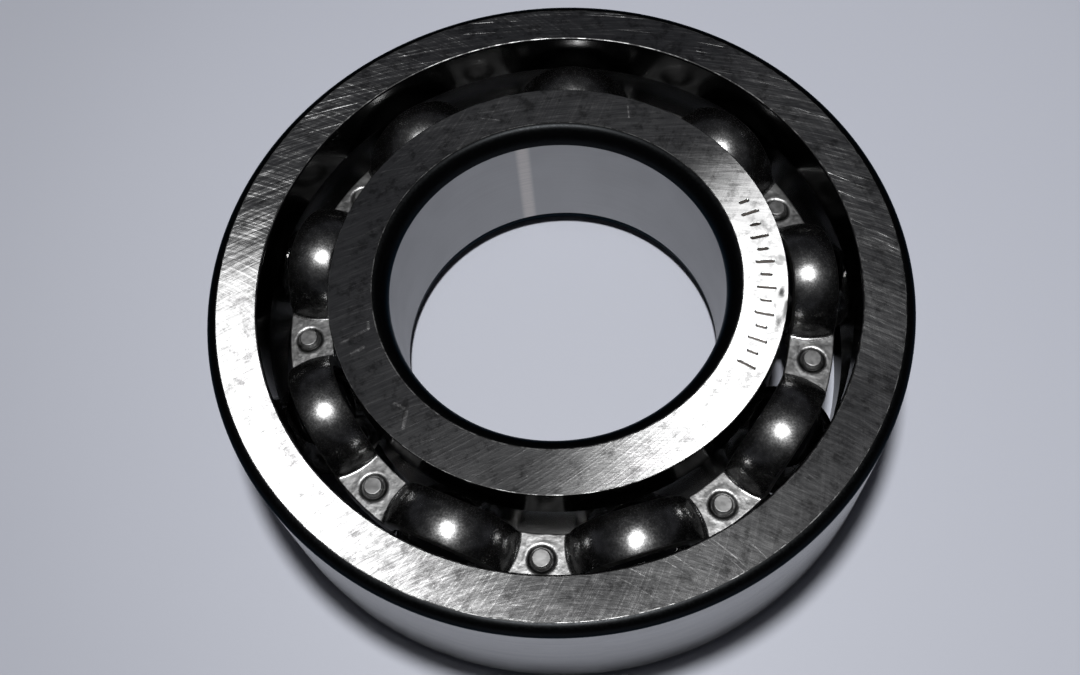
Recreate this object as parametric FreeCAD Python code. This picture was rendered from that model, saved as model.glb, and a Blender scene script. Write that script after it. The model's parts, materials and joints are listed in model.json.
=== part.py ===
import FreeCAD, Part
import math
import os

# Single-row deep groove ball bearing, open on both sides, with a riveted pressed-steel
# ribbon cage. Every piece is a separate solid in its own file.
# Frame: millimetres, +Z along the bearing's axis, origin on the axis at half the width.

# ---------------------------------------------------------------- driving dimensions
BORE_D = 30.0            # shaft seat in the inner ring
OUTSIDE_D = 62.0         # housing seat on the outer ring
WIDTH = 16.0             # both rings, faces flush
BALL_D = 9.525           # 3/8 inch balls
BALL_COUNT = 9
PITCH_D = 46.0           # circle through the ball centres
RACE_GAP = 0.0125        # between a centred ball and each raceway

# Rings
INNER_SHOULDER_R = 20.2
OUTER_SHOULDER_R = 26.4
BORE_CORNER_DEPTH = 1.35   # rounded corners at the shaft seat, across the side face
BORE_CORNER_LENGTH = 1.9   # and along the bore
OUTSIDE_CORNER_R = 1.0     # rounded corners at the housing seat
INNER_EDGE_BREAK = 0.1   # small chamfers where a shoulder meets a side face
OUTER_EDGE_BREAK = 0.2
INNER_CONFORMITY = 0.515  # raceway groove radius over ball diameter
OUTER_CONFORMITY = 0.525

# Cage, pressed from flat strip in two mirrored halves that meet at Z = 0
SHEET = 0.9
CAGE_INNER_R = 21.1
CAGE_OUTER_R = 25.1
POCKET_GAP = 0.15        # between a ball and the inside of its pocket
BEND_R = 0.4             # on the outside of the bend from flat to pocket

# Rivets, one in each flat between two pockets
RIVET_CIRCLE_R = 23.3
SHANK_R = 0.8
BUTTON_BASE_R = 0.9      # upset end, on the upper cage half
BUTTON_TOP_R = 0.82
BUTTON_HEIGHT = 0.66     # above the floor of its dish
BUTTON_EDGE = 0.1
DISH_R = 1.35            # dish that the closing tool leaves around the button
DISH_FLOOR_R = 0.98
DISH_DEPTH = 0.16
HEAD_R = 1.35            # factory head, under the lower cage half
HEAD_HEIGHT = 0.45

# ---------------------------------------------------------------- derived values
HALF_WIDTH = WIDTH / 2
BORE_R = BORE_D / 2
OUTSIDE_R = OUTSIDE_D / 2
BALL_R = BALL_D / 2
PITCH_R = PITCH_D / 2
STEP_ANGLE = 360.0 / BALL_COUNT
POCKET_INSIDE_R = BALL_R + POCKET_GAP
POCKET_OUTSIDE_R = POCKET_INSIDE_R + SHEET

AXIS = FreeCAD.Vector(0, 0, 1)
ORIGIN = FreeCAD.Vector(0, 0, 0)


# ---------------------------------------------------------------- profile helpers
def at(r, z):
    """Point of a turned profile: r from the axis, z along it."""
    return FreeCAD.Vector(r, 0, z)


def line(start, end):
    return Part.LineSegment(start, end).toShape()


def arc(start, middle, end):
    return Part.Arc(start, middle, end).toShape()


def quarter_ellipse(face_end, seat_end, centre):
    """Rounded corner that is longer along the seat than across the face."""
    ellipse = Part.Ellipse(face_end, seat_end, centre)
    return Part.ArcOfEllipse(ellipse, 0, math.pi / 2).toShape()


def arc_point(centre, radius, angle):
    """Point of the circle in the profile plane, angle in degrees from +r towards +z."""
    turn = math.radians(angle)
    return at(centre.x + radius * math.cos(turn), centre.z + radius * math.sin(turn))


def turned(edges):
    """Solid of revolution of a closed profile about the Z axis."""
    face = Part.Face(Part.Wire(edges))
    return face.revolve(ORIGIN, AXIS, 360)


def groove_half_width(groove_r, depth):
    """Half the width of a raceway groove at the depth of its shoulders."""
    return math.sqrt(groove_r ** 2 - (groove_r - depth) ** 2)


def on_circle(shape, radius, angle):
    """Shape moved out along +X by radius, then turned about the bearing's axis."""
    moved = shape.copy()
    moved.translate(FreeCAD.Vector(radius, 0, 0))
    moved.rotate(ORIGIN, AXIS, angle)
    return moved


# ---------------------------------------------------------------- rings
def outer_ring():
    groove_r = OUTER_CONFORMITY * BALL_D
    bottom = PITCH_R + BALL_R + RACE_GAP
    mouth = groove_half_width(groove_r, bottom - OUTER_SHOULDER_R)
    shoulder, top = OUTER_SHOULDER_R, HALF_WIDTH
    face_r = shoulder + OUTER_EDGE_BREAK
    corner_r = OUTSIDE_R - OUTSIDE_CORNER_R
    upper = at(corner_r, top - OUTSIDE_CORNER_R)
    lower = at(corner_r, OUTSIDE_CORNER_R - top)
    return turned([
        arc(at(shoulder, -mouth), at(bottom, 0), at(shoulder, mouth)),
        line(at(shoulder, mouth), at(shoulder, top - OUTER_EDGE_BREAK)),
        line(at(shoulder, top - OUTER_EDGE_BREAK), at(face_r, top)),
        line(at(face_r, top), at(corner_r, top)),
        arc(at(corner_r, top), arc_point(upper, OUTSIDE_CORNER_R, 45), at(OUTSIDE_R, upper.z)),
        line(at(OUTSIDE_R, upper.z), at(OUTSIDE_R, lower.z)),
        arc(at(OUTSIDE_R, lower.z), arc_point(lower, OUTSIDE_CORNER_R, -45), at(corner_r, -top)),
        line(at(corner_r, -top), at(face_r, -top)),
        line(at(face_r, -top), at(shoulder, OUTER_EDGE_BREAK - top)),
        line(at(shoulder, OUTER_EDGE_BREAK - top), at(shoulder, -mouth)),
    ])


def inner_ring():
    groove_r = INNER_CONFORMITY * BALL_D
    bottom = PITCH_R - BALL_R - RACE_GAP
    mouth = groove_half_width(groove_r, INNER_SHOULDER_R - bottom)
    shoulder, top = INNER_SHOULDER_R, HALF_WIDTH
    face_r = shoulder - INNER_EDGE_BREAK
    corner_r = BORE_R + BORE_CORNER_DEPTH
    seat_end = top - BORE_CORNER_LENGTH
    return turned([
        arc(at(shoulder, mouth), at(bottom, 0), at(shoulder, -mouth)),
        line(at(shoulder, -mouth), at(shoulder, INNER_EDGE_BREAK - top)),
        line(at(shoulder, INNER_EDGE_BREAK - top), at(face_r, -top)),
        line(at(face_r, -top), at(corner_r, -top)),
        quarter_ellipse(at(corner_r, -top), at(BORE_R, -seat_end), at(corner_r, -seat_end)),
        line(at(BORE_R, -seat_end), at(BORE_R, seat_end)),
        quarter_ellipse(at(corner_r, top), at(BORE_R, seat_end), at(corner_r, seat_end)),
        line(at(corner_r, top), at(face_r, top)),
        line(at(face_r, top), at(shoulder, top - INNER_EDGE_BREAK)),
        line(at(shoulder, top - INNER_EDGE_BREAK), at(shoulder, mouth)),
    ])


def ball(angle):
    return on_circle(Part.makeSphere(BALL_R), PITCH_R, angle)


# ---------------------------------------------------------------- cage
def ribbon(height):
    """Ring-shaped strip between the cage's inner and outer radius, from Z = 0 up."""
    outside = Part.makeCylinder(CAGE_OUTER_R, height)
    return outside.cut(Part.makeCylinder(CAGE_INNER_R, height))


def bend_centre():
    """Centre of the bend between flat and pocket: tangent to the flat and the dome."""
    height = SHEET + BEND_R
    return at(math.sqrt((POCKET_OUTSIDE_R + BEND_R) ** 2 - height ** 2), height)


def pocket_shell():
    """One domed pocket with its bend, turned about the vertical through the ball."""
    bend = bend_centre()
    reach = POCKET_OUTSIDE_R + BEND_R
    slope = math.degrees(math.atan2(bend.z, bend.x))
    middle = (slope + 90) / 2
    bend_middle = 180 + (slope + 90) / 2
    outer_touch = at(bend.x * POCKET_OUTSIDE_R / reach, bend.z * POCKET_OUTSIDE_R / reach)
    inner_touch = at(bend.x * POCKET_INSIDE_R / reach, bend.z * POCKET_INSIDE_R / reach)
    return turned([
        line(at(0, POCKET_INSIDE_R), at(0, POCKET_OUTSIDE_R)),
        arc(at(0, POCKET_OUTSIDE_R), arc_point(ORIGIN, POCKET_OUTSIDE_R, middle), outer_touch),
        arc(outer_touch, arc_point(bend, BEND_R, bend_middle), at(bend.x, SHEET)),
        line(at(bend.x, SHEET), at(bend.x, 0)),
        arc(at(bend.x, 0), arc_point(bend, BEND_R + SHEET, bend_middle), inner_touch),
        arc(inner_touch, arc_point(ORIGIN, POCKET_INSIDE_R, middle), at(0, POCKET_INSIDE_R)),
    ])


def dish():
    """Metal pushed away around a rivet's button: flat floor, then a curved side."""
    floor = SHEET - DISH_DEPTH
    run = DISH_R - DISH_FLOOR_R
    knee = at(DISH_FLOOR_R + 0.6 * run, floor + 0.3 * DISH_DEPTH)
    return turned([
        line(at(0, floor), at(DISH_FLOOR_R, floor)),
        arc(at(DISH_FLOOR_R, floor), knee, at(DISH_R, SHEET)),
        line(at(DISH_R, SHEET), at(0, SHEET)),
        line(at(0, SHEET), at(0, floor)),
    ])


def cage_half(with_dishes):
    """Ribbon half lying above Z = 0: flats at rivet places, domes over the balls."""
    bend = bend_centre()
    half = ribbon(SHEET)
    for number in range(BALL_COUNT):
        angle = number * STEP_ANGLE
        half = half.cut(on_circle(Part.makeCylinder(bend.x, SHEET), PITCH_R, angle))
    tall_ribbon = ribbon(POCKET_OUTSIDE_R + BEND_R)
    for number in range(BALL_COUNT):
        angle = number * STEP_ANGLE
        shell = on_circle(pocket_shell(), PITCH_R, angle)
        half = half.fuse(shell.common(tall_ribbon))
    for number in range(BALL_COUNT):
        angle = (number + 0.5) * STEP_ANGLE
        half = half.cut(on_circle(Part.makeCylinder(SHANK_R, SHEET), RIVET_CIRCLE_R, angle))
        if with_dishes:
            half = half.cut(on_circle(dish(), RIVET_CIRCLE_R, angle))
    return half.removeSplitter()


def rivet(angle):
    """Shank through both flats, closed by a flat button above and a low head below."""
    floor = SHEET - DISH_DEPTH
    top = floor + BUTTON_HEIGHT
    under = -SHEET - HEAD_HEIGHT
    crown_r = HEAD_R - HEAD_HEIGHT
    head_corner = at(crown_r, -SHEET)
    body = turned([
        line(at(0, under), at(crown_r, under)),
        arc(at(crown_r, under), arc_point(head_corner, HEAD_HEIGHT, -45), at(HEAD_R, -SHEET)),
        line(at(HEAD_R, -SHEET), at(SHANK_R, -SHEET)),
        line(at(SHANK_R, -SHEET), at(SHANK_R, floor)),
        line(at(SHANK_R, floor), at(BUTTON_BASE_R, floor)),
        line(at(BUTTON_BASE_R, floor), at(BUTTON_TOP_R, top - BUTTON_EDGE)),
        line(at(BUTTON_TOP_R, top - BUTTON_EDGE), at(BUTTON_TOP_R - BUTTON_EDGE, top)),
        line(at(BUTTON_TOP_R - BUTTON_EDGE, top), at(0, top)),
        line(at(0, top), at(0, under)),
    ])
    return on_circle(body, RIVET_CIRCLE_R, angle)


# ---------------------------------------------------------------- assembly
def export(name, shape):
    solid = shape.Solids[0]
    if len(shape.Solids) != 1 or not solid.isValid():
        raise ValueError(name + " is not one valid solid")
    solid.exportStep("parts/" + name + ".step")
    print(name, round(solid.Volume, 2), "mm3")


def main():
    os.makedirs("parts", exist_ok=True)
    export("outer_ring", outer_ring())
    export("inner_ring", inner_ring())
    lower_half = cage_half(with_dishes=False).mirror(ORIGIN, AXIS)
    export("cage_upper", cage_half(with_dishes=True))
    export("cage_lower", lower_half)
    for number in range(BALL_COUNT):
        export("ball_" + str(number + 1), ball(number * STEP_ANGLE))
        export("rivet_" + str(number + 1), rivet((number + 0.5) * STEP_ANGLE))


main()
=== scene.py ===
import json
import math
import random

import bpy
import numpy as np
from mathutils import Matrix, Vector


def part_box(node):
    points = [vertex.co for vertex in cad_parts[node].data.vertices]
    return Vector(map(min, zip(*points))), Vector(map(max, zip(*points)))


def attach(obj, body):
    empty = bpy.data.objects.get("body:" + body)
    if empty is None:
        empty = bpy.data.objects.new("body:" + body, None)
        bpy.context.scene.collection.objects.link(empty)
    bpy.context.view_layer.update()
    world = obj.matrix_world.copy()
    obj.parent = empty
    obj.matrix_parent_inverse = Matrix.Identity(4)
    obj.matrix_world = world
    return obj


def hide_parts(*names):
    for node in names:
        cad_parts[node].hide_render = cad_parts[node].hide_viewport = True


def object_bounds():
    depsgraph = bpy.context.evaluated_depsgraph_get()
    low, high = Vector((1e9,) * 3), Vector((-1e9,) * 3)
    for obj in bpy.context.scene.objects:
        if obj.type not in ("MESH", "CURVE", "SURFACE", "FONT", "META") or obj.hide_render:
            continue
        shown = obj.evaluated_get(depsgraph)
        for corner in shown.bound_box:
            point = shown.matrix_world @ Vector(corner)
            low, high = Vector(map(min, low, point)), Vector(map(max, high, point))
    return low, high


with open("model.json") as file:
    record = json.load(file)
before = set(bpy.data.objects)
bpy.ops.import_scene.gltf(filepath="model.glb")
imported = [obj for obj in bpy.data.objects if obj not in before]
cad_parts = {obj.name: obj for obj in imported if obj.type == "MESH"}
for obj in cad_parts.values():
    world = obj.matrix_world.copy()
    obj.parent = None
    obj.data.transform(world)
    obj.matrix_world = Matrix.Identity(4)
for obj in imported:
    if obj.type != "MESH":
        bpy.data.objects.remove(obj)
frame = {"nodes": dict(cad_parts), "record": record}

CAD_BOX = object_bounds()

# Looks of an open deep groove ball bearing: ground rings, a riveted pressed-steel cage and
# polished balls. Profiles are worked out in millimetres and become metres in the meshes.
MM = 0.001
PER_MM = 1000.0


# ------------------------------------------------------------------ sizes, from the frame
def corner_mm(node):
    """Highest corner of a CAD node's box, in millimetres."""
    return [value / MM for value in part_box(node)[1]]


MOUNTS = {mount["name"]: mount for mount in frame["record"]["mounts"]}
OUTSIDE_R, _, HALF_WIDTH = corner_mm("outer_ring")
BORE_R = MOUNTS["bore"]["dims"]["r_mm"]
BORE_CORNER_LENGTH = HALF_WIDTH - MOUNTS["bore"]["dims"]["length_mm"] / 2
OUTSIDE_CORNER_R = HALF_WIDTH - MOUNTS["housing_seat"]["dims"]["length_mm"] / 2
INNER_SHOULDER_R = corner_mm("inner_ring")[0]
CAGE_OUTER_R, _, DOME_TOP = corner_mm("cage_upper")
BALL_R = corner_mm("ball_1")[2]
PITCH_R = corner_mm("ball_1")[0] - BALL_R
BALL_COUNT = sum(name.startswith("ball_") for name in frame["nodes"])
BUTTON_TOP = corner_mm("rivet_1")[2]
HEAD_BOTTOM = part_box("rivet_1")[0].z / MM
STEP = 2 * math.pi / BALL_COUNT

# Sizes that no box gives, the same as in the CAD source
BORE_CORNER_DEPTH = 1.35
OUTER_SHOULDER_R = 26.4
RACE_GAP = 0.0125
INNER_GROOVE_R = 0.515 * 2 * BALL_R
OUTER_GROOVE_R = 0.525 * 2 * BALL_R
INNER_EDGE = 0.1
OUTER_EDGE = 0.2
SHEET = 0.9
CAGE_INNER_R = 21.1
BEND_R = 0.4
RIVET_CIRCLE_R = 23.3
SHANK_R = 0.8
BUTTON_BASE_R = 0.9
BUTTON_TOP_R = 0.82
DISH_R = 1.35
DISH_FLOOR_R = 0.98
DISH_DEPTH = 0.16
HEAD_R = 1.35


# ------------------------------------------------------------------ meshes
def new_object(name, vertices, faces, slots, face_slots, normals=None):
    """Mesh object from vertices in millimetres, with one material slot index per face."""
    mesh = bpy.data.meshes.new(name)
    mesh.from_pydata((np.asarray(vertices, float) * MM).tolist(), [], faces)
    for material in slots:
        mesh.materials.append(material)
    mesh.polygons.foreach_set("material_index", np.asarray(face_slots, np.int32))
    mesh.polygons.foreach_set("use_smooth", np.ones(len(faces), bool))
    mesh.validate(clean_customdata=False)
    if normals is not None:
        mesh.normals_split_custom_set(normals)
    mesh.update()
    piece = bpy.data.objects.new(name, mesh)
    bpy.context.scene.collection.objects.link(piece)
    return piece


def shade(piece, name, values):
    """Number on each vertex that a material reads."""
    attribute = piece.data.attributes.new(name, "FLOAT", "POINT")
    attribute.data.foreach_set("value", np.asarray(values, np.float32).ravel())


def smooth_step(value, low, high):
    share = np.clip((value - low) / (high - low), 0, 1)
    return share * share * (3 - 2 * share)


def straight(start, end, slot, count=1):
    """Straight stretch of a turned profile: points (r, z), outward normals and slot."""
    start, end = np.array(start, float), np.array(end, float)
    share = np.linspace(0, 1, count + 1)[:, None]
    points = start + (end - start) * share
    along = (end - start) / np.linalg.norm(end - start)
    normals = np.tile([along[1], -along[0]], (count + 1, 1))
    return points, normals, slot


def curved(centre, radius, first, last, slot, count=10, stretch=1.0):
    """Arc of a turned profile between two angles in degrees; hollow if it turns back.

    stretch makes it an ellipse that is longer along the bearing's axis.
    """
    angles = np.radians(np.linspace(first, last, count + 1))
    spokes = np.stack([np.cos(angles), np.sin(angles)], axis=1)
    points = np.array(centre, float) + radius * spokes * (1.0, stretch)
    normals = spokes * (stretch, 1.0)
    normals /= np.linalg.norm(normals, axis=1, keepdims=True)
    return points, normals if last > first else -normals, slot


def lathe(name, spans, columns, slots, relief=None):
    """Piece turned about the Z axis from profile spans, which run anticlockwise in (r, z).

    columns are the angles of its columns. relief moves the vertices of a marked face and
    gives its shade attribute. Points on the axis become one vertex.
    """
    closed = np.allclose(spans[0][0][0], spans[-1][0][-1])
    profile, corner_normals = [], []
    for points, normals, slot in spans:
        for index in range(len(points) - 1):
            profile.append((points[index], slot))
            corner_normals.append((normals[index], normals[index + 1], slot))
    if not closed:
        profile.append((spans[-1][0][-1], spans[-1][2]))
    cosines, sines = np.cos(columns), np.sin(columns)
    count = len(columns)
    vertices, rows = [], []
    for (r, z), slot in profile:
        if r < 1e-6:
            rows.append([len(vertices)] * count)
            vertices.append((0.0, 0.0, z))
            continue
        rows.append(list(range(len(vertices), len(vertices) + count)))
        vertices += [(r * c, r * s, z) for c, s in zip(cosines, sines)]
    faces, face_slots, normals = [], [], []
    for index, (low, high, slot) in enumerate(corner_normals):
        this_row, next_row = rows[index], rows[(index + 1) % len(rows)]
        for column in range(count):
            after = (column + 1) % count
            corners = [(this_row[column], low, column), (this_row[after], low, after),
                       (next_row[after], high, after), (next_row[column], high, column)]
            if corners[0][0] == corners[1][0]:
                corners = [corners[0]] + corners[2:]
            elif corners[2][0] == corners[3][0]:
                corners = corners[:3]
            faces.append([corner[0] for corner in corners])
            face_slots.append(slot)
            normals += [(n[0] * cosines[k], n[0] * sines[k], n[1]) for _, n, k in corners]
    vertices = np.array(vertices)
    if relief is None:
        return new_object(name, vertices, faces, slots, face_slots, normals)
    vertices, normals, fill = relief(vertices, faces, normals)
    piece = new_object(name, vertices, faces, slots, face_slots, normals)
    shade(piece, "mark", fill)
    return piece


def even_columns(count):
    return np.linspace(0, 2 * math.pi, count, endpoint=False)


def settle(piece, node, body):
    """The piece rides on a body and stands for a CAD node, which is hidden."""
    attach(piece, body)
    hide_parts(node)
    return piece


# ------------------------------------------------------------------ shader graphs
class Graph:
    """Small helper that writes a material's nodes as expressions."""

    def __init__(self, name):
        self.material = bpy.data.materials.new(name)
        self.material.use_nodes = True
        self.tree = self.material.node_tree
        self.tree.nodes.clear()
        self.output = self.tree.nodes.new("ShaderNodeOutputMaterial")
        self.shader = self.tree.nodes.new("ShaderNodeBsdfPrincipled")
        self.tree.links.new(self.shader.outputs["BSDF"], self.output.inputs["Surface"])

    def link(self, value, socket):
        if isinstance(value, bpy.types.NodeSocket):
            self.tree.links.new(value, socket)
        else:
            socket.default_value = value

    def set(self, **values):
        """Values or links for the shader's own sockets, underscores for spaces."""
        for name, value in values.items():
            self.link(value, self.shader.inputs[name.replace("_", " ")])

    def math(self, operation, *values, clamp=False):
        node = self.tree.nodes.new("ShaderNodeMath")
        node.operation = operation
        node.use_clamp = clamp
        for value, socket in zip(values, node.inputs):
            self.link(value, socket)
        return node.outputs[0]

    def vector(self, operation, *values):
        node = self.tree.nodes.new("ShaderNodeVectorMath")
        node.operation = operation
        for value, socket in zip(values, node.inputs):
            self.link(value, socket)
        return node.outputs["Value" if operation in ("LENGTH", "DOT_PRODUCT") else "Vector"]

    def combine(self, x, y, z):
        node = self.tree.nodes.new("ShaderNodeCombineXYZ")
        for value, socket in zip((x, y, z), node.inputs):
            self.link(value, socket)
        return node.outputs[0]

    def separate(self, vector):
        node = self.tree.nodes.new("ShaderNodeSeparateXYZ")
        self.link(vector, node.inputs[0])
        return node.outputs

    def place_mm(self):
        """Position on the piece in millimetres, which turns with the piece."""
        coordinates = self.tree.nodes.new("ShaderNodeTexCoord")
        node = self.tree.nodes.new("ShaderNodeVectorMath")
        node.operation = "SCALE"
        self.link(coordinates.outputs["Object"], node.inputs[0])
        node.inputs["Scale"].default_value = PER_MM
        return node.outputs["Vector"]

    def noise(self, vector, scale=1.0, detail=2.0, roughness=0.5):
        node = self.tree.nodes.new("ShaderNodeTexNoise")
        self.link(vector, node.inputs["Vector"])
        node.inputs["Scale"].default_value = scale
        node.inputs["Detail"].default_value = detail
        node.inputs["Roughness"].default_value = roughness
        return node.outputs["Fac"]

    def remap(self, value, low, high, new_low, new_high, kind="SMOOTHSTEP"):
        node = self.tree.nodes.new("ShaderNodeMapRange")
        node.interpolation_type = kind
        for number, entry in enumerate((value, low, high, new_low, new_high)):
            self.link(entry, node.inputs[number])
        return node.outputs[0]

    def blend(self, factor, first, second):
        """Colour between two colours."""
        node = self.tree.nodes.new("ShaderNodeMix")
        node.data_type = "RGBA"
        self.link(factor, node.inputs["Factor"])
        self.link(first, node.inputs[6])
        self.link(second, node.inputs[7])
        return node.outputs[2]

    def bump(self, height, distance, strength=1.0, normal=None):
        node = self.tree.nodes.new("ShaderNodeBump")
        node.inputs["Strength"].default_value = strength
        node.inputs["Distance"].default_value = distance
        self.link(height, node.inputs["Height"])
        if normal is not None:
            self.link(normal, node.inputs["Normal"])
        return node.outputs[0]

    def attribute(self, name):
        node = self.tree.nodes.new("ShaderNodeAttribute")
        node.attribute_name = name
        return node.outputs["Fac"]

    def polar(self, place, centre):
        """Arc length and radius about a centre in the XY plane, and the spoke's direction."""
        spoke = self.vector("SUBTRACT", place, (centre[0], centre[1], 0.0))
        spoke = self.vector("MULTIPLY", spoke, (1.0, 1.0, 0.0))
        radius = self.vector("LENGTH", spoke)
        parts = self.separate(spoke)
        turn = self.math("ARCTAN2", parts[0], parts[1])
        reach = max(math.hypot(*centre), PITCH_R)
        return self.math("MULTIPLY", turn, reach), radius, self.vector("NORMALIZE", spoke)

    def world_direction(self, vector):
        node = self.tree.nodes.new("ShaderNodeVectorTransform")
        node.vector_type = "VECTOR"
        node.convert_from = "OBJECT"
        node.convert_to = "WORLD"
        self.link(vector, node.inputs[0])
        return node.outputs[0]


def grey(value, warmth=0.0):
    """Neutral colour, a little warm above zero and a little cold below."""
    return (value * (1 + warmth), value, value * (1 - warmth), 1.0)


def lay_direction(graph, place, pole, plain, sectors, streaks):
    """Direction across the grinding grooves, in world space.

    pole is the point that the grooves would circle about; they swing away from that by plain
    degrees, and by another angle in each sector: (middle, cosine where the sector starts,
    cosine from which it is full, swing). streaks scales the swing from groove to groove.
    """
    x, y, _ = graph.separate(graph.vector("SUBTRACT", place, (pole[0], pole[1], 0.0)))
    spoke = graph.vector("NORMALIZE", graph.vector("MULTIPLY", place, (1.0, 1.0, 0.0)))
    swing = math.radians(plain)
    for middle, start, full, inside in sectors:
        turn = math.radians(middle)
        nearness = graph.vector("DOT_PRODUCT", spoke, (math.cos(turn), math.sin(turn), 0.0))
        swing = graph.remap(nearness, start, full, swing, math.radians(inside), "LINEAR")
    swing = graph.math("MULTIPLY", swing, streaks)
    heading = graph.math("ADD", graph.math("ARCTAN2", y, x), swing)
    across = graph.combine(graph.math("COSINE", heading), graph.math("SINE", heading), 0.0)
    return graph.world_direction(across)


def scratches(graph, place, centre, along_pace, across_pace, shift, detail=3.0):
    """Noise drawn out along arcs about a centre."""
    along, radius, _ = graph.polar(place, centre)
    lines = graph.combine(graph.math("MULTIPLY", along, along_pace),
                          graph.math("MULTIPLY", radius, across_pace), shift)
    return graph.noise(lines, 1.0, detail, 0.6)


def nick(graph, place, angle, r, lean, length, width):
    """Mask of one straight scratch: its middle by angle and radius, leaning from the spoke."""
    turn, along = math.radians(angle), math.radians(angle + lean)
    middle = (r * math.cos(turn), r * math.sin(turn), 0.0)
    offset = graph.vector("SUBTRACT", place, middle)
    ahead = graph.vector("DOT_PRODUCT", offset, (math.cos(along), math.sin(along), 0.0))
    aside = graph.vector("DOT_PRODUCT", offset, (-math.sin(along), math.cos(along), 0.0))
    ragged = graph.remap(graph.noise(place, 3.0, 2.0), 0.3, 0.7, 0.65, 1.15)
    inside = graph.remap(graph.math("ABSOLUTE", ahead), length * 0.4, length * 0.55, 1.0, 0.0)
    thin = graph.remap(graph.math("ABSOLUTE", aside), width * 0.3, width, 1.0, 0.0)
    return graph.math("MULTIPLY", graph.math("MULTIPLY", inside, thin), ragged)


def ground_face(name, pole, plain, sectors, lay_centre, cross_centre, roughness, tone,
                contrast, nicks=()):
    """Ground side face: arcs of a grinding wheel, handling scratches and mottling."""
    graph = Graph(name)
    place = graph.place_mm()
    fine = scratches(graph, place, lay_centre, 0.35, 8.0, 0.0)
    coarse = scratches(graph, place, lay_centre, 0.15, 2.4, 4.0, 2.0)
    grains = scratches(graph, place, lay_centre, 0.8, 5.0, 21.0)
    cross = scratches(graph, place, cross_centre, 0.05, 4.0, 9.0, 3.0)
    loose = scratches(graph, place, (-9.0, -44.0), 0.07, 5.5, 15.0, 1.0)
    patches = graph.noise(place, 0.3, 3.0, 0.6)
    handled = graph.remap(graph.noise(place, 0.14, 3.0, 0.6), 0.45, 0.6, 0.25, 1.0)
    crossing = graph.remap(cross, 0.45, 0.7, 0.0, 1.0)
    x, y, _ = graph.separate(place)
    crossing = graph.math("MULTIPLY", crossing, graph.remap(x, -8.0, 16.0, 1.0, 0.25))
    lines = graph.math("MULTIPLY", graph.remap(loose, 0.63, 0.7, 0.0, 1.0), handled)
    wander = graph.math("ADD", graph.remap(fine, 0.3, 0.7, 0.1, -0.12),
                        graph.remap(grains, 0.3, 0.7, 0.12, -0.12))
    wander = graph.math("ADD", wander, graph.remap(coarse, 0.35, 0.65, 0.08, -0.14))
    wander = graph.math("ADD", wander, graph.remap(patches, 0.3, 0.7, -0.04, 0.1))
    wander = graph.math("SUBTRACT", wander, graph.math("MULTIPLY", crossing, 0.28))
    wander = graph.math("SUBTRACT", wander, graph.math("MULTIPLY", lines, 0.5))
    calm = graph.remap(y, -24.0, 4.0, 0.35 * contrast, contrast)
    wander = graph.math("ADD", 1.0, graph.math("MULTIPLY", wander, calm))
    for entry in nicks:
        depth = graph.math("MULTIPLY", nick(graph, place, *entry), 0.3)
        wander = graph.math("SUBTRACT", wander, depth)
    graph.set(Metallic=1.0, Anisotropic=1.0)
    graph.set(Tangent=lay_direction(graph, place, pole, plain, sectors, wander))
    graph.set(Roughness=graph.remap(patches, 0.3, 0.7, roughness * 0.93, roughness * 1.07))
    colour = graph.blend(fine, grey(tone * 0.78), grey(tone * 1.18))
    dull = graph.remap(graph.noise(place, 0.7, 6.0, 0.75), 0.48, 0.66, 0.0, 0.75)
    graph.set(Base_Color=graph.blend(dull, colour, grey(tone * 0.3)))
    height = graph.math("ADD", fine, graph.math("MULTIPLY", crossing, 0.5))
    height = graph.math("ADD", height, graph.math("MULTIPLY", grains, 0.6))
    graph.set(Normal=graph.bump(height, 0.000004, 0.5))
    return graph


def turned_surface(name, roughness, tone, line_height, grain, edge=0.5, across=0.0,
                   rub=None, bands=0.0):
    """Turned, ground or honed surface of revolution: fine lines round the axis.

    edge is the tint at a grazing angle; across spreads the gloss along the axis; rub
    is the azimuth and the half width in degrees of a painted highlight, a lighter warm stripe
    that stands in for a streak of reflected light; bands is how much its feed marks darken it.
    """
    graph = Graph(name)
    place = graph.place_mm()
    parts = graph.separate(place)
    along, radius, _ = graph.polar(place, (0.0, 0.0))
    profile = graph.combine(graph.math("MULTIPLY", along, 0.05),
                            graph.math("MULTIPLY", radius, grain),
                            graph.math("MULTIPLY", parts[2], grain))
    lines = graph.noise(profile, 1.0, 3.0, 0.6)
    smears = graph.noise(place, 0.25, 3.0)
    colour = graph.blend(lines, grey(tone * 0.9), grey(tone * 1.06))
    if bands:
        turns = graph.combine(graph.math("MULTIPLY", along, 0.012), 0.0,
                              graph.math("MULTIPLY", parts[2], 1.7))
        turns = graph.remap(graph.noise(turns, 1.0, 4.0, 0.65), 0.35, 0.65, 1.0, 0.0)
        colour = graph.blend(graph.math("MULTIPLY", turns, bands), colour, grey(tone * 0.4))
    # Painted highlight: a lighter warm stripe at one azimuth stands in for a streak of
    # reflected light.
    if rub:
        turn = math.radians(rub[0])
        spoke = graph.vector("NORMALIZE", graph.vector("MULTIPLY", place, (1.0, 1.0, 0.0)))
        nearness = graph.vector("DOT_PRODUCT", spoke, (math.cos(turn), math.sin(turn), 0.0))
        painted_stripe = graph.remap(nearness, math.cos(math.radians(rub[1])), 1.0, 0.0, 1.0)
        painted_stripe = graph.math("MULTIPLY", painted_stripe, graph.remap(lines, 0.35, 0.6, 0.55, 1.0))
        colour = graph.blend(painted_stripe, colour, grey(0.56, 0.06))
    graph.set(Metallic=1.0, Base_Color=colour)
    graph.set(Specular_Tint=grey(edge))
    graph.set(Roughness=graph.remap(smears, 0.3, 0.7, roughness * 0.94, roughness * 1.07))
    graph.set(Normal=graph.bump(lines, line_height, 0.5))
    if across:
        graph.set(Anisotropic=across, Tangent=graph.world_direction((0.0, 0.0, 1.0)))
    return graph.material


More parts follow.
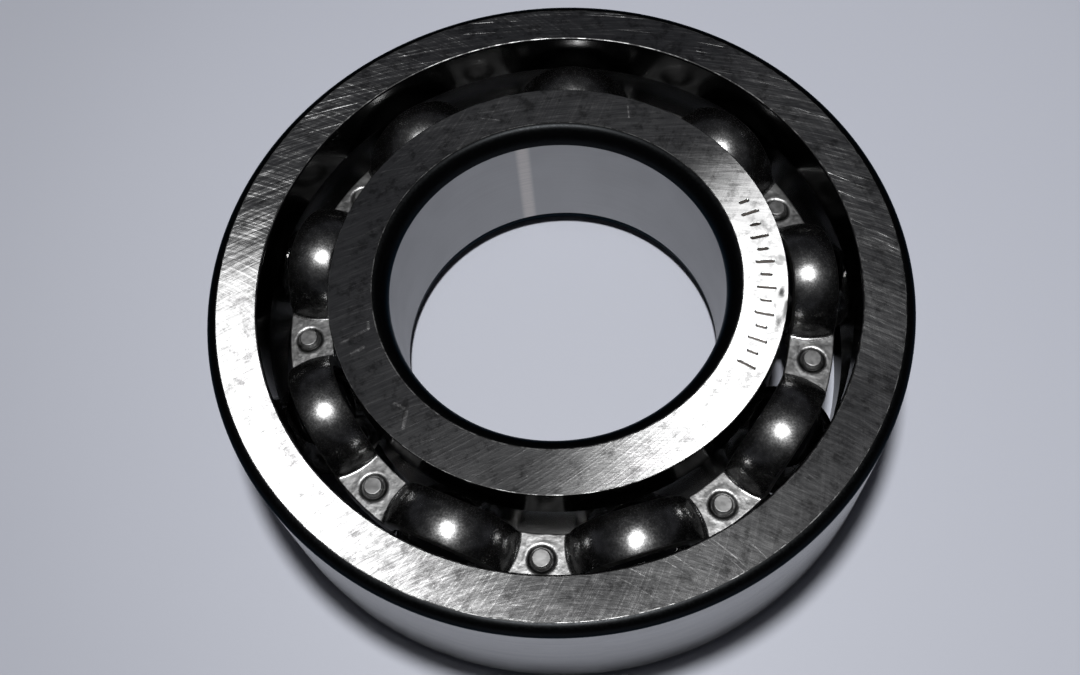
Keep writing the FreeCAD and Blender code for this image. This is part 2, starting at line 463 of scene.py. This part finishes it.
def worn_edge(name, roughness, bright):
    """Narrow edge between a ground face and its corner, bright only where it is rubbed."""
    graph = Graph(name)
    place = graph.place_mm()
    rubbed = graph.remap(graph.noise(place, 0.9, 4.0, 0.65), 0.45, 0.62, 0.0, 1.0)
    graph.set(Metallic=1.0, Base_Color=graph.blend(rubbed, grey(0.05), grey(bright)))
    graph.set(Roughness=graph.remap(rubbed, 0.0, 1.0, roughness * 1.2, roughness))
    graph.set(Normal=graph.bump(graph.noise(place, 6.0, 2.0), 0.000003, 0.4))
    return graph.material


def black_oxide(name, roughness, tone):
    """Turned corner that keeps its dark scale from hardening, rubbed bright in a few spots."""
    graph = Graph(name)
    place = graph.place_mm()
    grain = graph.noise(place, 5.0, 4.0, 0.6)
    rubbed = graph.noise(place, 0.9, 6.0, 0.75)
    spots = graph.remap(rubbed, 0.69, 0.76, 0.0, 1.0)
    dark = graph.blend(grain, grey(tone * 0.7, -0.06), grey(tone * 1.3, -0.06))
    graph.set(Metallic=1.0, Base_Color=graph.blend(spots, dark, grey(0.25)))
    graph.set(Specular_Tint=grey(0.45, -0.05))
    graph.set(Roughness=graph.remap(grain, 0.3, 0.7, roughness * 0.85, roughness * 1.15))
    graph.set(Normal=graph.bump(grain, 0.000004, 0.4))
    return graph.material


def pressed_strip(name, roughness, tone, dent_height, grain_height):
    """Cold-rolled strip after pressing: satin grain, faint drawing streaks, small dents;
    painted shade in the rivet dishes.
    """
    graph = Graph(name)
    place = graph.place_mm()
    along, radius, _ = graph.polar(place, (0.0, 0.0))
    streaks = graph.noise(graph.combine(graph.math("MULTIPLY", along, 0.5),
                                        graph.math("MULTIPLY", radius, 9.0),
                                        graph.math("MULTIPLY", graph.separate(place)[2], 3.0)),
                          1.0, 3.0, 0.6)
    dents = graph.noise(place, 1.3, 2.0, 0.5)
    grain = graph.noise(place, 6.0, 3.0, 0.6)
    marks = graph.math("ADD", graph.math("MULTIPLY", streaks, 0.3), grain)
    colour = graph.blend(graph.remap(dents, 0.3, 0.7, 0.0, 1.0), grey(tone * 0.75),
                         grey(tone * 1.25))
    uneven = graph.remap(graph.noise(place, 0.7, 2.0), 0.38, 0.6, 0.8, 1.0)
    # Painted shade: a vertex attribute darkens the dish round each rivet to near black.
    crater = graph.math("MULTIPLY", graph.attribute("crater"), uneven)
    graph.set(Metallic=1.0, Base_Color=graph.blend(crater, colour, grey(0.025)))
    graph.set(Specular_Tint=grey(0.6))
    graph.set(Roughness=graph.remap(grain, 0.3, 0.7, roughness * 0.85, roughness * 1.15))
    rolled = graph.bump(dents, dent_height, 0.6)
    graph.set(Normal=graph.bump(marks, grain_height, 0.6, rolled))
    return graph.material


# Sectors of a side face for lay_direction: middle in degrees, cosine of the angle from the
# middle where a sector starts, cosine from which it is full, swing of the grooves in degrees.
OUTER_SECTORS = ((8.0, 0.64, 0.87, 17.0), (185.75, 0.3, 1.0, 6.5), (138.0, 0.8, 0.99, 19.5),
                 (272.0, 0.96, 0.998, 30.5), (307.0, 0.85, 0.97, 22.0))
INNER_SECTORS = ((78.0, 0.5, 0.79, -21.0), (-34.25, 0.33, 0.95, -10.5),
                 (0.0, 0.75, 0.985, -6.5))
# Handling marks on the inner ring, for nick: angle, radius, lean, length, width
INNER_NICKS = ((192.0, 18.2, 12.0, 3.0, 0.2), (196.5, 18.4, 9.0, 1.5, 0.3),
               (190.0, 16.9, 80.0, 0.9, 0.2), (221.0, 18.4, 35.0, 1.8, 0.22),
               (217.0, 17.9, 110.0, 1.2, 0.2), (62.0, 18.6, 25.0, 1.6, 0.12),
               (104.0, 18.0, 60.0, 2.0, 0.1))
LAY_POLE = (-2.2, -61.7)             # far point that the grinding grooves circle about
FACE_ROUGHNESS, FACE_TONE = 0.24, 0.55

OUTER_FACE = ground_face("outer_face_steel", LAY_POLE, 27.5, OUTER_SECTORS, (-4.0, -53.5),
                         (-34.0, -6.0), FACE_ROUGHNESS, FACE_TONE, contrast=1.35).material
INNER_GRAPH = ground_face("inner_face_steel", LAY_POLE, -27.5, INNER_SECTORS, (3.0, -62.0),
                          (-30.0, 35.0), FACE_ROUGHNESS, FACE_TONE, contrast=0.45,
                          nicks=INNER_NICKS)
INNER_FACE = INNER_GRAPH.material


def darken_marks(graph):
    """Engraved strokes are dark and dull."""
    mark = graph.attribute("mark")
    base = graph.shader.inputs["Base Color"]
    plain = base.links[0].from_socket
    graph.link(graph.blend(mark, plain, (0.05, 0.042, 0.036, 1.0)), base)
    gloss = graph.shader.inputs["Roughness"]
    plain = gloss.links[0].from_socket
    graph.link(graph.math("ADD", plain, graph.math("MULTIPLY", mark, 0.3)), gloss)


darken_marks(INNER_GRAPH)
CORNER = black_oxide("oxide_corner_steel", roughness=0.36, tone=0.013)
WORN_EDGE = worn_edge("worn_edge_steel", roughness=0.34, bright=0.3)
SEAT = turned_surface("ground_seat_steel", roughness=0.24, tone=0.46, line_height=0.000004,
                      grain=9.0, edge=0.8, across=0.6, bands=0.25)
SHOULDER = turned_surface("dark_shoulder_steel", roughness=0.17, tone=0.08,
                          line_height=0.000004, grain=7.0, edge=0.3)
# The bore carries a painted highlight: a lighter warm stripe at 96.5 degrees, 3.2 degrees to
# each side, in place of a streak of reflected light.
BORE_SEAT = turned_surface("ground_bore_steel", roughness=0.32, tone=0.36,
                           line_height=0.0000015, grain=9.0, edge=0.8, across=0.8,
                           rub=(96.5, 3.2))
RACEWAY = turned_surface("honed_raceway_steel", roughness=0.25, tone=0.5,
                         line_height=0.000002, grain=5.0, edge=0.6, across=0.9)
BALL = turned_surface("lapped_ball_steel", roughness=0.04, tone=0.5,
                      line_height=0.0000005, grain=3.0)
DOME = pressed_strip("pocket_strip_steel", roughness=0.25, tone=0.28,
                     dent_height=0.000006, grain_height=0.000005)
FLAT = pressed_strip("flat_strip_steel", roughness=0.38, tone=0.36,
                     dent_height=0.00008, grain_height=0.00001)
CUT_EDGE = pressed_strip("cut_edge_steel", roughness=0.35, tone=0.3,
                         dent_height=0.00001, grain_height=0.000005)
BUTTON = pressed_strip("rivet_steel", roughness=0.42, tone=0.27,
                       dent_height=0.00002, grain_height=0.000006)


def ripple(x, y, seed, wavelength, count=7):
    """Smooth unevenness with an amplitude of about one, the same for the same seed."""
    draw = random.Random(seed)
    total = np.zeros_like(x)
    for _ in range(count):
        heading, phase = draw.uniform(0, math.pi), draw.uniform(0, 2 * math.pi)
        pace = 2 * math.pi / (wavelength * draw.uniform(0.7, 1.6))
        total += np.sin(pace * (x * math.cos(heading) + y * math.sin(heading)) + phase)
    return total / math.sqrt(count)


# ------------------------------------------------------------------ rings
def groove_angle(groove_r, centre_r, shoulder_r):
    """Angle at which a raceway groove meets its shoulder, in degrees."""
    return math.degrees(math.acos(abs(shoulder_r - centre_r) / groove_r))


def outer_ring():
    top, shoulder, edge = HALF_WIDTH, OUTER_SHOULDER_R, OUTER_EDGE
    corner = OUTSIDE_CORNER_R
    centre_r = PITCH_R + BALL_R + RACE_GAP - OUTER_GROOVE_R
    mouth = groove_angle(OUTER_GROOVE_R, centre_r, shoulder)
    mouth_z = OUTER_GROOVE_R * math.sin(math.radians(mouth))
    rim, face_r = OUTSIDE_R - corner, shoulder + edge
    spans = [
        straight((face_r, -top), (rim, -top), 0, 3),
        curved((rim, corner - top), corner, -90, -86, 5, 2),
        curved((rim, corner - top), corner, -86, 0, 1, 13),
        straight((OUTSIDE_R, corner - top), (OUTSIDE_R, top - corner), 2, 6),
        curved((rim, top - corner), corner, 0, 86, 1, 13),
        curved((rim, top - corner), corner, 86, 90, 5, 2),
        straight((rim, top), (face_r, top), 0, 3),
        curved((face_r, top - edge), edge, 90, 125, 5, 3),
        curved((face_r, top - edge), edge, 125, 180, 3, 4),
        straight((shoulder, top - edge), (shoulder, mouth_z), 3, 4),
        curved((centre_r, 0), OUTER_GROOVE_R, mouth, -mouth, 4, 24),
        straight((shoulder, -mouth_z), (shoulder, edge - top), 3, 4),
        curved((face_r, edge - top), edge, 180, 235, 3, 4),
        curved((face_r, edge - top), edge, 235, 270, 5, 3),
    ]
    slots = [OUTER_FACE, CORNER, SEAT, SHOULDER, RACEWAY, WORN_EDGE]
    piece = lathe("outer_ring_ground", spans, even_columns(360), slots)
    return settle(piece, "outer_ring", "outer_ring")


MARK_SECTOR = (-38.0, 19.0)          # engraved sector of the inner ring's face, in degrees
MARK_RADII = (17.2, 20.1)
MARK_DEPTH = 0.05
TICKS = 14                           # plain scale of ticks, long and short in turn
TICK_START, TICK_STEP = 16.0, 4.0    # degrees
TICK_R = 18.3                        # circle through the middles of the ticks
LONG_REACH, SHORT_REACH = 0.7, 0.35  # half lengths
SCUFF = (-17.0, 19.4, 2.4, 0.9)      # angle, radius, half length and half width of a dent
SCUFF_DEPTH = 0.03


def mark_fill(x, y):
    """Share of the full depth of the engraved ticks at a place of the face."""
    fill = np.zeros_like(x)
    for number in range(TICKS):
        turn = math.radians(TICK_START - TICK_STEP * number)
        reach = LONG_REACH if number % 2 else SHORT_REACH
        out = x * math.cos(turn) + y * math.sin(turn)
        side = -x * math.sin(turn) + y * math.cos(turn)
        away = np.hypot(side, np.maximum(np.abs(out - TICK_R) - reach, 0))
        fill = np.maximum(fill, 1 - smooth_step(away, 0.05, 0.14))
    return fill


def scuff_depth(x, y):
    """Depth in millimetres of the dented place beside the ticks."""
    turn = math.radians(SCUFF[0])
    out = (x * math.cos(turn) + y * math.sin(turn) - SCUFF[1]) / SCUFF[3]
    side = (-x * math.sin(turn) + y * math.cos(turn)) / SCUFF[2]
    inside = 1 - smooth_step(np.hypot(out, side), 0.35, 1.0)
    return SCUFF_DEPTH * inside * (0.5 + 0.5 * ripple(x, y, "scuff", 1.6))


def engrave(vertices, faces, normals):
    """Sinks the ticks and the scuff into the top face and tilts its normals to fit."""
    x, y, z = vertices.T
    on_face = (z > HALF_WIDTH - 1e-6) & (np.hypot(x, y) > MARK_RADII[0] - 0.3)
    on_face &= np.hypot(x, y) < MARK_RADII[1] + 1e-6

    def depth(px, py):
        return np.where(on_face, MARK_DEPTH * mark_fill(px, py) + scuff_depth(px, py), 0.0)

    small = 0.005
    slope_x = (depth(x + small, y) - depth(x - small, y)) / (2 * small)
    slope_y = (depth(x, y + small) - depth(x, y - small)) / (2 * small)
    sunk = vertices.copy()
    sunk[:, 2] -= np.maximum(depth(x, y), 0.0)
    changed = np.abs(slope_x) + np.abs(slope_y) > 1e-7
    corner = 0
    for face in faces:
        flat = all(vertices[vertex, 2] > HALF_WIDTH - 1e-6 for vertex in face)
        for vertex in face:
            if flat and changed[vertex]:
                normals[corner] = tuple(Vector((slope_x[vertex], slope_y[vertex], 1.0))
                                        .normalized())
            corner += 1
    return sunk, normals, np.where(on_face, mark_fill(x, y), 0.0)


def inner_ring():
    top, shoulder, edge = HALF_WIDTH, INNER_SHOULDER_R, INNER_EDGE
    depth, length = BORE_CORNER_DEPTH, BORE_CORNER_LENGTH
    stretch = length / depth
    centre_r = PITCH_R - BALL_R - RACE_GAP + INNER_GROOVE_R
    mouth = groove_angle(INNER_GROOVE_R, centre_r, shoulder)
    mouth_z = INNER_GROOVE_R * math.sin(math.radians(mouth))
    rim, face_r = BORE_R + depth, shoulder - edge
    spans = [
        straight((rim, -top), (face_r, -top), 0, 3),
        curved((face_r, edge - top), edge, -90, 0, 5, 5),
        straight((shoulder, edge - top), (shoulder, -mouth_z), 3, 4),
        curved((centre_r, 0), INNER_GROOVE_R, 180 + mouth, 180 - mouth, 4, 24),
        straight((shoulder, mouth_z), (shoulder, top - edge), 3, 4),
        curved((face_r, top - edge), edge, 0, 45, 3, 3),
        curved((face_r, top - edge), edge, 45, 90, 5, 3),
        straight((face_r, top), (MARK_RADII[0], top), 0, 46),
        straight((MARK_RADII[0], top), (rim, top), 0, 2),
        curved((rim, top - length), depth, 90, 94, 5, 2, stretch),
        curved((rim, top - length), depth, 94, 180, 1, 16, stretch),
        straight((BORE_R, top - length), (BORE_R, length - top), 2, 6),
        curved((rim, length - top), depth, 180, 266, 1, 16, stretch),
        curved((rim, length - top), depth, 266, 270, 5, 2, stretch),
    ]
    slots = [INNER_FACE, CORNER, BORE_SEAT, SHOULDER, RACEWAY, WORN_EDGE]
    marked = np.arange(MARK_SECTOR[0], MARK_SECTOR[1], 0.22)
    plain = np.arange(MARK_SECTOR[1], 360 + MARK_SECTOR[0], 1.0)
    columns = np.radians(np.concatenate([marked, plain]))
    piece = lathe("inner_ring_ground", spans, columns, slots, engrave)
    return settle(piece, "inner_ring", "inner_ring")


# ------------------------------------------------------------------ cage
POCKET_OUTSIDE_R = DOME_TOP
BEND_Z = SHEET + BEND_R
BEND_RHO = math.sqrt((POCKET_OUTSIDE_R + BEND_R) ** 2 - BEND_Z ** 2)
DOME_COUNT, BEND_COUNT, FLAT_COUNT = 22, 7, 24
CUT_ROUND = 0.1


def half_pocket(depth, r):
    """Points from a pocket's middle to the next rivet's middle, on the circle of radius r.

    depth runs from 0 on the outside of the sheet to 1 on its inside. Returns the angle from
    the pocket's middle and the height above the plane where the two cage halves meet.
    """
    dome_r = POCKET_OUTSIDE_R - depth * SHEET
    bend_r = BEND_R + depth * SHEET
    slope = math.atan2(BEND_Z, BEND_RHO)
    tilt = np.linspace(math.asin(abs(r - PITCH_R) / dome_r), math.pi / 2 - slope,
                       DOME_COUNT + 1)[:-1]
    bend = np.linspace(math.pi + slope, 1.5 * math.pi, BEND_COUNT + 1)
    reach = np.concatenate([dome_r * np.sin(tilt), BEND_RHO + bend_r * np.cos(bend)])
    height = np.concatenate([dome_r * np.cos(tilt), BEND_Z + bend_r * np.sin(bend)])
    cosine = (r ** 2 + PITCH_R ** 2 - reach ** 2) / (2 * r * PITCH_R)
    turn = np.arccos(np.clip(cosine, -1, 1))
    flat = np.linspace(turn[-1], STEP / 2, FLAT_COUNT + 1)[1:]
    turn = np.concatenate([turn, flat])
    height = np.concatenate([height, np.full(FLAT_COUNT, SHEET * (1 - depth))])
    return turn, height


def strip_rows():
    """(depth, radius, surface) of each row round the strip's section, outside first."""
    low, high, cut = CAGE_INNER_R, CAGE_OUTER_R, CUT_ROUND
    share = cut / SHEET
    quarter = np.linspace(0, math.pi / 2, 4)
    rows = [(0.0, r, "outside") for r in np.linspace(low + cut, high - cut, 44)]
    rows += [(share * (1 - math.cos(t)), high - cut * (1 - math.sin(t)), "edge")
             for t in quarter[1:]]
    rows += [(0.5, high, "edge")]
    rows += [(1 - share * (1 - math.cos(t)), high - cut * (1 - math.sin(t)), "edge")
             for t in quarter[:0:-1]]
    rows += [(1.0, r, "inside") for r in np.linspace(high - cut, low + cut, 18)]
    rows += [(1 - share * (1 - math.cos(t)), low + cut * (1 - math.sin(t)), "edge")
             for t in quarter[1:]]
    rows += [(0.5, low, "edge")]
    rows += [(share * (1 - math.cos(t)), low + cut * (1 - math.sin(t)), "edge")
             for t in quarter[:0:-1]]
    return rows


def dish_height(distance):
    """Height of a flat around its rivet: a dish with a steep side and a low rim."""
    side = smooth_step(distance, DISH_FLOOR_R, DISH_R)
    rim = np.exp(-((distance - DISH_R - 0.12) / 0.14) ** 2)
    return -DISH_DEPTH * (1 - side) + 0.01 * rim


def cage_half(name, node, upper):
    rows = strip_rows()
    centres = [(RIVET_CIRCLE_R * math.cos((k + 0.5) * STEP),
                RIVET_CIRCLE_R * math.sin((k + 0.5) * STEP)) for k in range(BALL_COUNT)]
    grid, crater = [], []
    for depth, r, surface in rows:
        turn, height = half_pocket(depth, r)
        turn = np.concatenate([-turn[:0:-1], turn[:-1]])
        height = np.concatenate([height[:0:-1], height[:-1]])
        angles = np.concatenate([turn + k * STEP for k in range(BALL_COUNT)])
        heights = np.tile(height, BALL_COUNT)
        x, y = r * np.cos(angles), r * np.sin(angles)
        dark = np.zeros_like(x)
        if surface == "outside":
            on_flat = smooth_step(-heights, -SHEET - 0.25, -SHEET)
            nearest = np.min([np.hypot(x - cx, y - cy) for cx, cy in centres], axis=0)
            if upper:
                heights = heights + on_flat * dish_height(nearest)
                # Painted shade: near black within 1.12 mm of a rivet's middle, fading out by
                # 1.3 mm.
                dark = on_flat * (1 - smooth_step(nearest, 1.12, 1.3))
            heights = heights + on_flat * 0.006 * ripple(x, y, node, 1.6)
        grid.append(np.stack([x, y, heights], axis=1))
        crater.append(dark)
    grid = np.array(grid)
    if not upper:
        grid[:, :, 2] *= -1
    row_count, column_count = grid.shape[:2]
    per_pocket = column_count // BALL_COUNT
    faces, face_slots = [], []
    for row in range(row_count):
        below = (row + 1) % row_count
        cut = rows[row][2] == "edge" or rows[below][2] == "edge"
        for column in range(column_count):
            after = (column + 1) % column_count
            face = [row * column_count + column, below * column_count + column,
                    below * column_count + after, row * column_count + after]
            faces.append(face if upper else face[::-1])
            place = column % per_pocket
            flat = place < FLAT_COUNT or place >= per_pocket - FLAT_COUNT
            face_slots.append(2 if cut else (1 if flat else 0))
    piece = new_object(name, grid.reshape(-1, 3), faces, [DOME, FLAT, CUT_EDGE], face_slots)
    shade(piece, "crater", crater)
    return settle(piece, node, "cage")


# ------------------------------------------------------------------ balls and rivets
def ball(number):
    """Ball from six square patches, so that no pole shows."""
    cells = 24
    line = np.tan(np.linspace(-math.pi / 4, math.pi / 4, cells + 1))
    u, v = np.meshgrid(line, line)
    one = np.ones_like(u)
    sides = [(one, u, v), (-one, -u, v), (-u, one, v), (u, -one, v), (u, v, one), (-u, v, -one)]
    vertices, faces, known = [], [], {}
    for side in sides:
        points = np.stack(side, axis=-1)
        points = points / np.linalg.norm(points, axis=-1, keepdims=True)
        index = np.zeros(u.shape, int)
        for row in range(cells + 1):
            for column in range(cells + 1):
                key = tuple(np.round(points[row, column], 5))
                if key not in known:
                    known[key] = len(vertices)
                    vertices.append(points[row, column])
                index[row, column] = known[key]
        for row in range(cells):
            for column in range(cells):
                faces.append([int(index[row, column]), int(index[row, column + 1]),
                              int(index[row + 1, column + 1]), int(index[row + 1, column])])
    angle = number * STEP
    centre = np.array([PITCH_R * math.cos(angle), PITCH_R * math.sin(angle), 0.0])
    points = np.array(vertices)
    name = "ball_" + str(number + 1)
    corner_normals = [tuple(points[corner]) for face in faces for corner in face]
    piece = new_object(name + "_lapped", points * BALL_R + centre, faces, [BALL],
                       [0] * len(faces), corner_normals)
    return settle(piece, name, name)


def rivet(number):
    floor = SHEET - DISH_DEPTH
    edge = 0.12
    crown = HEAD_R + HEAD_BOTTOM + SHEET
    slump = -SHEET - HEAD_BOTTOM
    spans = [
        straight((0, HEAD_BOTTOM), (crown, HEAD_BOTTOM), 0, 4),
        curved((crown, -SHEET), slump, -90, 0, 0, 8),
        straight((HEAD_R, -SHEET), (SHANK_R, -SHEET), 0),
        straight((SHANK_R, -SHEET), (SHANK_R, floor), 0, 2),
        straight((SHANK_R, floor), (BUTTON_BASE_R, floor), 0),
        straight((BUTTON_BASE_R, floor), (BUTTON_TOP_R, BUTTON_TOP - edge), 0, 3),
        curved((BUTTON_TOP_R - edge, BUTTON_TOP - edge), edge, 0, 90, 0, 5),
        straight((BUTTON_TOP_R - edge, BUTTON_TOP), (0, BUTTON_TOP), 0, 4),
    ]
    name = "rivet_" + str(number + 1)
    piece = lathe(name + "_upset", spans, even_columns(48), [BUTTON])
    angle = (number + 0.5) * STEP
    offset = Vector((RIVET_CIRCLE_R * math.cos(angle), RIVET_CIRCLE_R * math.sin(angle), 0))
    piece.data.transform(Matrix.Translation(offset * MM) @ Matrix.Rotation(angle, 4, "Z"))
    return settle(piece, name, "cage")


outer_ring()
inner_ring()
cage_half("cage_upper_pressed", "cage_upper", True)
cage_half("cage_lower_pressed", "cage_lower", False)
for ball_number in range(BALL_COUNT):
    ball(ball_number)
    rivet(ball_number)


# ------------------------------------------------------------------ floor, light, camera
LIT_CENTRE = (26.0, 10.0, 0.0)       # middle of the table lamp's pool, in mm
GLOW_START, GLOW_FULL, GLOW = 80.0, 200.0, 0.35


def floor_material():
    """Pale table with a soft grain; a faint glow keeps it pale beyond the lamp's pool."""
    graph = Graph("pale_table")
    place = graph.place_mm()
    broad = graph.noise(place, 0.01, 3.0)
    grain = graph.noise(place, 1.2, 3.0, 0.6)
    distance = graph.vector("LENGTH", graph.vector("SUBTRACT", place, LIT_CENTRE))
    glow = graph.remap(distance, GLOW_START, GLOW_FULL, 0.0, GLOW)
    graph.set(Base_Color=graph.blend(broad, (0.53, 0.55, 0.63, 1), (0.58, 0.60, 0.67, 1)))
    graph.set(Roughness=0.55, Specular_IOR_Level=0.3)
    graph.set(Emission_Color=(0.86, 0.89, 1.0, 1.0), Emission_Strength=glow)
    graph.set(Normal=graph.bump(grain, 0.00002, 0.3))
    return graph.material


def floor():
    mesh = bpy.data.meshes.new("table_top")
    reach, z = 3.0, CAD_BOX[0].z
    mesh.from_pydata([(-reach, -reach, z), (reach, -reach, z), (reach, reach, z),
                      (-reach, reach, z)], [], [(0, 1, 2, 3)])
    mesh.materials.append(floor_material())
    table = bpy.data.objects.new("table_top", mesh)
    bpy.context.scene.collection.objects.link(table)


def aim(thing, target):
    """Turns a light or camera so that it looks at the target."""
    way = Vector(target) - thing.location
    thing.rotation_mode = "QUATERNION"
    thing.rotation_quaternion = way.to_track_quat("-Z", "Y")


def lamp(data, place, target, receivers):
    """Lamp that the camera doesn't see and that falls on the receivers only."""
    light = bpy.data.objects.new(data.name, data)
    light.location = place
    aim(light, target)
    bpy.context.scene.collection.objects.link(light)
    light.visible_camera = False
    group = bpy.data.collections.new(light.name + "_receivers")
    for piece in receivers:
        group.objects.link(piece)
    light.light_linking.receiver_collection = group


def lights():
    """Lamp far overhead for the steel and a lower lamp for the table."""
    table = bpy.data.objects["table_top"]
    steel = [piece for piece in bpy.context.scene.objects
             if piece.type == "MESH" and piece != table]
    data = bpy.data.lights.new("overhead_lamp", "AREA")
    data.shape, data.size, data.energy = "DISK", 0.2, 10.0
    lamp(data, (-0.019, -0.114, 1.2), (0.0, 0.0, 0.0), steel)
    data = bpy.data.lights.new("table_lamp", "SPOT")
    data.energy, data.shadow_soft_size = 2.6, 0.015
    data.spot_size, data.spot_blend = math.radians(76.0), 1.0
    lamp(data, (0.0, -0.006, 0.27), (0.025, 0.01, 0.0), [table])


ROOM_LOW, ROOM_HIGH = 0.075, 0.026   # light from the room near the horizon and overhead
BACKDROP = 0.4                       # the same room as the camera sees it


def room():
    """Dim room, a little lighter near the horizon, with a pale backdrop behind the table."""
    world = bpy.data.worlds.new("studio")
    bpy.context.scene.world = world
    world.use_nodes = True
    nodes, links = world.node_tree.nodes, world.node_tree.links
    dim = nodes["Background"]
    dim.inputs["Color"].default_value = (0.86, 0.88, 1.0, 1)
    direction = nodes.new("ShaderNodeTexCoord")
    height = nodes.new("ShaderNodeSeparateXYZ")
    links.new(direction.outputs["Generated"], height.inputs[0])
    level = nodes.new("ShaderNodeMapRange")
    level.interpolation_type = "SMOOTHSTEP"
    for number, value in enumerate((0.0, 0.15, 0.6, ROOM_LOW, ROOM_HIGH)):
        level.inputs[number].default_value = value
    links.new(height.outputs[2], level.inputs[0])
    links.new(level.outputs[0], dim.inputs["Strength"])
    backdrop = nodes.new("ShaderNodeBackground")
    backdrop.inputs["Color"].default_value = (0.86, 0.89, 1.0, 1)
    backdrop.inputs["Strength"].default_value = BACKDROP
    seen = nodes.new("ShaderNodeLightPath")
    mix = nodes.new("ShaderNodeMixShader")
    links.new(seen.outputs["Is Camera Ray"], mix.inputs[0])
    links.new(dim.outputs[0], mix.inputs[1])
    links.new(backdrop.outputs[0], mix.inputs[2])
    links.new(mix.outputs[0], nodes["World Output"].inputs["Surface"])


VIEW_TURN = math.radians(-4.25)      # the whole view, about the bearing's axis
VIEW_AZIMUTH, VIEW_ELEVATION, VIEW_ROLL = (math.radians(a) for a in (4.0, 59.87, -6.54))
VIEW_DISTANCE = 0.11586
VIEW_TARGET = (-0.00164, 0.00682, 0.0)


def camera():
    """Close view from the front and above, with the framing a little above the middle."""
    azimuth = VIEW_AZIMUTH + VIEW_TURN
    target = Matrix.Rotation(VIEW_TURN, 3, "Z") @ Vector(VIEW_TARGET)
    back = Vector((math.sin(azimuth) * math.cos(VIEW_ELEVATION),
                   -math.cos(azimuth) * math.cos(VIEW_ELEVATION), math.sin(VIEW_ELEVATION)))
    data = bpy.data.cameras.new("camera")
    data.sensor_width = 36.0
    data.lens = 40.08
    data.shift_y = -0.0787
    data.clip_start = 0.005
    data.clip_end = 20.0
    view = bpy.data.objects.new("camera", data)
    bpy.context.scene.collection.objects.link(view)
    view.location = target + back * VIEW_DISTANCE
    aim(view, target)
    roll = Matrix.Rotation(VIEW_ROLL, 3, "Z").to_quaternion()
    view.rotation_quaternion = view.rotation_quaternion @ roll
    bpy.context.scene.camera = view


floor()
lights()
room()
camera()
bpy.context.scene.view_settings.view_transform = "Standard"
